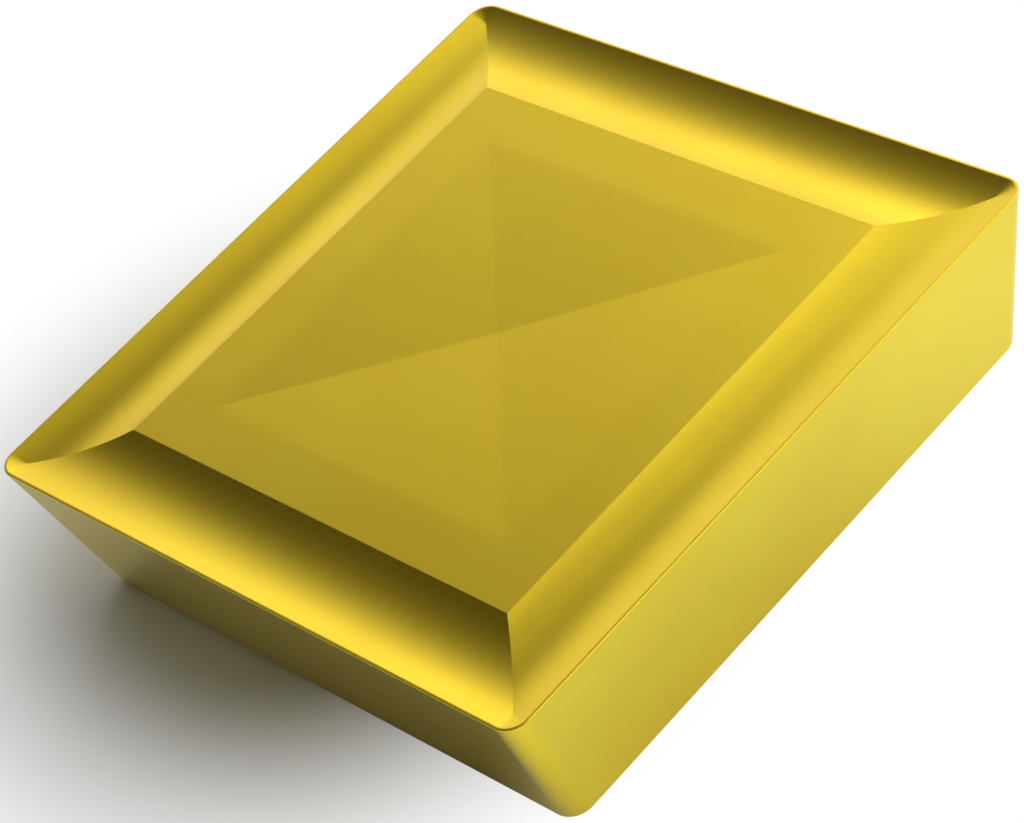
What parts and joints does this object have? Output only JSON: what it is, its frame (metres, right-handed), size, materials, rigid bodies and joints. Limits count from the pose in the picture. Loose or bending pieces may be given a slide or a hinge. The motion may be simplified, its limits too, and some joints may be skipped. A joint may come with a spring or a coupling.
{
  "type": "carbide insert",
  "caption": "Square positive carbide cutting insert without a hole, gold-coated, with an arc-section chipbreaker groove round one face and a shallow dished island inside it.",
  "frame": {"origin": "centre of the flat seating face", "axes": "+Z from the seating face to the cutting edges; +X and +Y square to the flanks"},
  "size_m": [0.0126, 0.0126, 0.0032],
  "materials": {
    "coated_carbide": "sintered cemented carbide with a thin gold titanium-nitride coating, satin"
  },
  "bodies": {
    "root": {"insert": "coated_carbide"}
  },
  "joints": []
}
